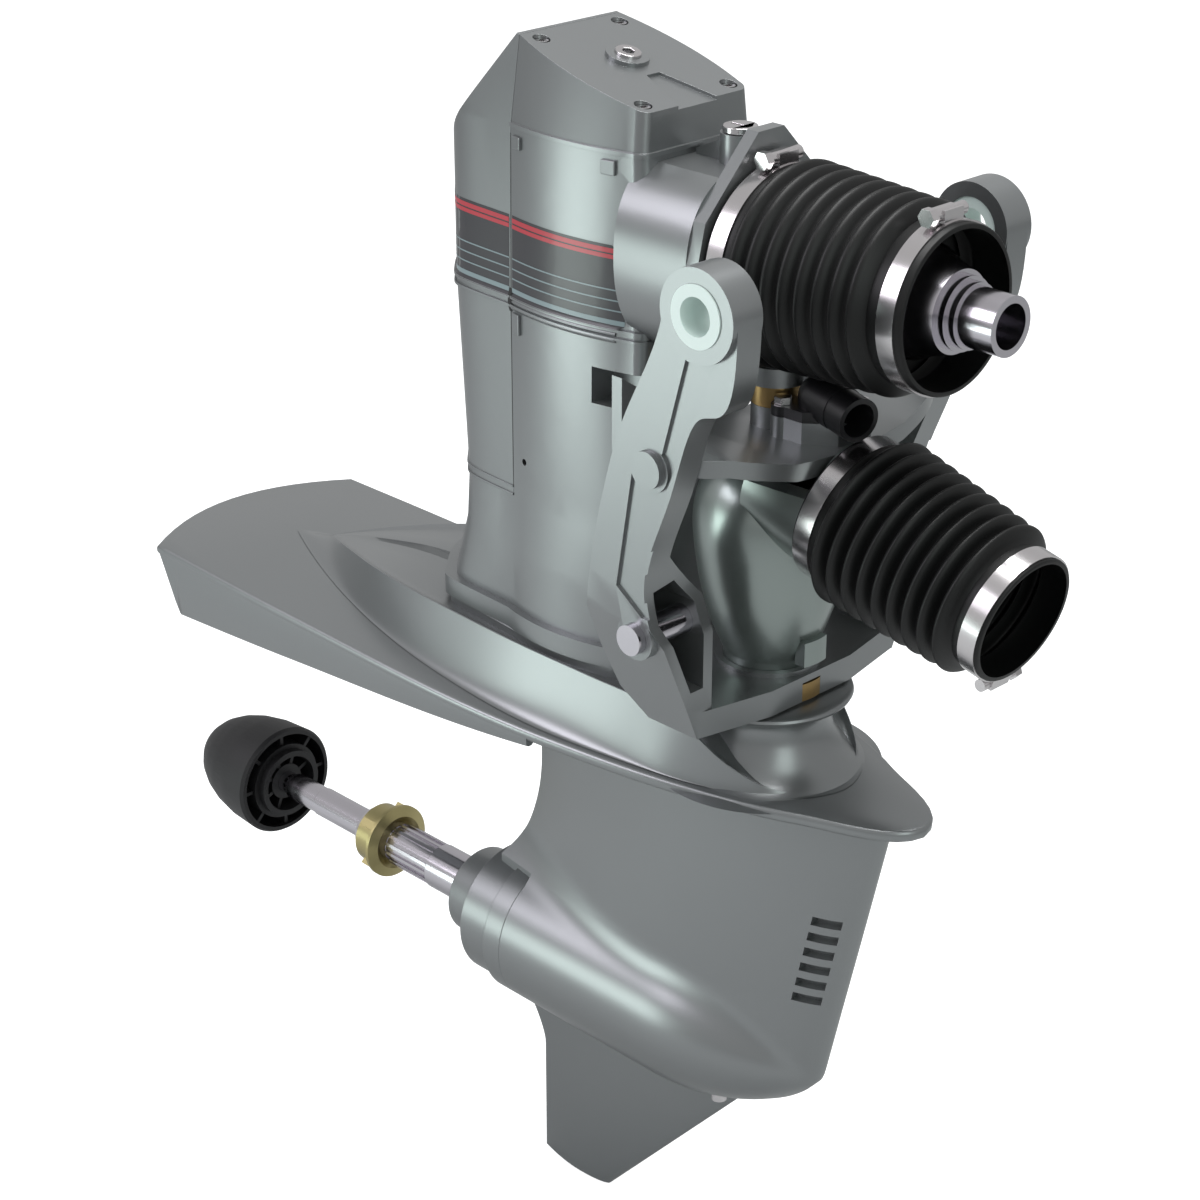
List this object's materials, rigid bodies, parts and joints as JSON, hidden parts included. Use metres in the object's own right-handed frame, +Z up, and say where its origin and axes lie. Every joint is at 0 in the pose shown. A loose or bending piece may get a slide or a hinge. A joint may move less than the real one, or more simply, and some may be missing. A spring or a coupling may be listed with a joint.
{
  "type": "sterndrive",
  "caption": "Steerable marine sterndrive leg with bevel gears, twin counter-rotating propeller shafts, tilt fork, shaft and exhaust bellows.",
  "frame": {"origin": "where the vertical steering axis crosses the horizontal input shaft axis", "axes": "+X forward to the boat along the input shaft, +Y to port along the tilt axis, +Z up along the steering axis"},
  "size_m": [0.877, 0.29, 0.934],
  "materials": {
    "paint_grey": "satin",
    "bare_casting": "satin cast",
    "shaft_steel": "ground",
    "clamp_steel": "bright strip",
    "gear_steel": "hardened",
    "bellows_rubber": "satin",
    "seal_rubber": "matte",
    "elbow_plastic": "satin",
    "cone_plastic": "matte",
    "collar_brass": "satin",
    "bush_bronze": "satin",
    "tilt_bush_plastic": "satin"
  },
  "bodies": {
    "fork": {"suspension_fork": "paint_grey", "tilt_bushes": "tilt_bush_plastic", "trim_pins": "shaft_steel", "upper_pivot_pin": "shaft_steel", "pivot_washer": "bush_bronze", "lower_pivot_bush": "bush_bronze", "hose_elbow": "elbow_plastic", "hose_elbow_bolts": "clamp_steel", "exhaust_elbow": "bare_casting", "exhaust_bellows": "bellows_rubber", "exhaust_clamp_bands": "clamp_steel", "exhaust_clamp_screws": "clamp_steel"},
    "leg": {"upper_gear_housing": "paint_grey", "top_cover": "paint_grey", "rear_cowl": "paint_grey", "top_cover_screws": "clamp_steel", "intermediate_housing": "paint_grey", "lower_gear_housing": "paint_grey", "drain_plug": "clamp_steel", "upper_pivot_bush": "bush_bronze", "joint_bellows": "bellows_rubber", "joint_clamp_bands": "clamp_steel", "joint_clamp_screws": "clamp_steel", "input_bearings": "gear_steel", "input_seal": "seal_rubber", "case_top_plug": "clamp_steel", "oil_plug": "clamp_steel", "gear_bearings": "gear_steel", "pinion_bearing": "gear_steel", "front_shaft_bearing": "gear_steel", "rear_shaft_bearing": "gear_steel", "bearing_carrier": "paint_grey", "shaft_seal": "seal_rubber"},
    "input_gear": {"input_pinion": "gear_steel", "rear_yoke": "gear_steel"},
    "rear_joint_cross": {"rear_cross": "shaft_steel"},
    "centre_yoke": {"centre_yoke": "gear_steel"},
    "front_joint_cross": {"front_cross": "shaft_steel"},
    "input_shaft": {"input_shaft": "shaft_steel"},
    "upper_wheel": {"upper_gear_wheel": "gear_steel"},
    "lower_wheel": {"lower_gear_wheel": "gear_steel"},
    "vertical_shaft": {"upper_vertical_shaft": "shaft_steel", "shaft_sleeve": "gear_steel", "lower_vertical_shaft": "gear_steel"},
    "clutch": {"clutch_cone": "bush_bronze"},
    "shift": {"shift_shoe": "gear_steel", "shift_lever": "gear_steel"},
    "inner_line": {"front_driven_gear": "gear_steel", "inner_propeller_shaft": "shaft_steel", "propeller_cone": "cone_plastic"},
    "outer_line": {"rear_driven_gear": "gear_steel", "outer_propeller_shaft": "shaft_steel", "brass_collar": "collar_brass", "lock_ring": "clamp_steel"}
  },
  "joints": [
    {"name": "steering", "type": "hinge", "parent": "fork", "child": "leg", "pos_m": [0, 0, -0.2], "axis": [0, 0, 1], "range_deg": [-24, 24]},
    {"name": "input_spin", "type": "hinge", "parent": "leg", "child": "input_gear", "pos_m": [0, 0, 0], "axis": [1, 0, 0], "continuous": true},
    {"name": "rear_joint_yaw", "type": "hinge", "parent": "input_gear", "child": "rear_joint_cross", "pos_m": [0.038, 0, 0], "axis": [0, 0, 1], "range_deg": [-3.5, 3.5]},
    {"name": "rear_joint_pitch", "type": "hinge", "parent": "rear_joint_cross", "child": "centre_yoke", "pos_m": [0.038, 0, 0], "axis": [0, 1, 0], "range_deg": [-3.5, 3.5]},
    {"name": "front_joint_pitch", "type": "hinge", "parent": "centre_yoke", "child": "front_joint_cross", "pos_m": [0.086, 0, 0], "axis": [0, 1, 0], "range_deg": [-3.5, 3.5]},
    {"name": "front_joint_yaw", "type": "hinge", "parent": "front_joint_cross", "child": "input_shaft", "pos_m": [0.086, 0, 0], "axis": [0, 0, 1], "range_deg": [-3.5, 3.5]},
    {"name": "upper_wheel_spin", "type": "hinge", "parent": "leg", "child": "upper_wheel", "pos_m": [-0.134, 0, 0.04], "axis": [0, 0, 1], "continuous": true},
    {"name": "lower_wheel_spin", "type": "hinge", "parent": "leg", "child": "lower_wheel", "pos_m": [-0.134, 0, -0.04], "axis": [0, 0, 1], "continuous": true},
    {"name": "inner_propeller_spin", "type": "hinge", "parent": "leg", "child": "inner_line", "pos_m": [-0.3, 0, -0.6], "axis": [1, 0, 0], "continuous": true},
    {"name": "outer_propeller_spin", "type": "hinge", "parent": "leg", "child": "outer_line", "pos_m": [-0.3, 0, -0.6], "axis": [1, 0, 0], "continuous": true},
    {"name": "vertical_spin", "type": "hinge", "parent": "leg", "child": "vertical_shaft", "pos_m": [-0.134, 0, -0.2], "axis": [0, 0, 1], "continuous": true},
    {"name": "clutch_slide", "type": "slide", "parent": "vertical_shaft", "child": "clutch", "axis": [0, 0, 1], "range_m": [-0.003, 0.003]},
    {"name": "shift_slide", "type": "slide", "parent": "leg", "child": "shift", "axis": [0, 0, 1], "range_m": [-0.003, 0.003]}
  ],
  "couplings": [
    {"joint": "front_joint_pitch", "follows": "rear_joint_pitch", "ratio": 1},
    {"joint": "front_joint_yaw", "follows": "rear_joint_yaw", "ratio": 1},
    {"joint": "upper_wheel_spin", "follows": "input_spin", "ratio": -0.85714},
    {"joint": "lower_wheel_spin", "follows": "input_spin", "ratio": 0.85714},
    {"joint": "outer_propeller_spin", "follows": "inner_propeller_spin", "ratio": -1},
    {"joint": "vertical_spin", "follows": "inner_propeller_spin", "ratio": -1.6667},
    {"joint": "shift_slide", "follows": "clutch_slide", "ratio": 1}
  ]
}
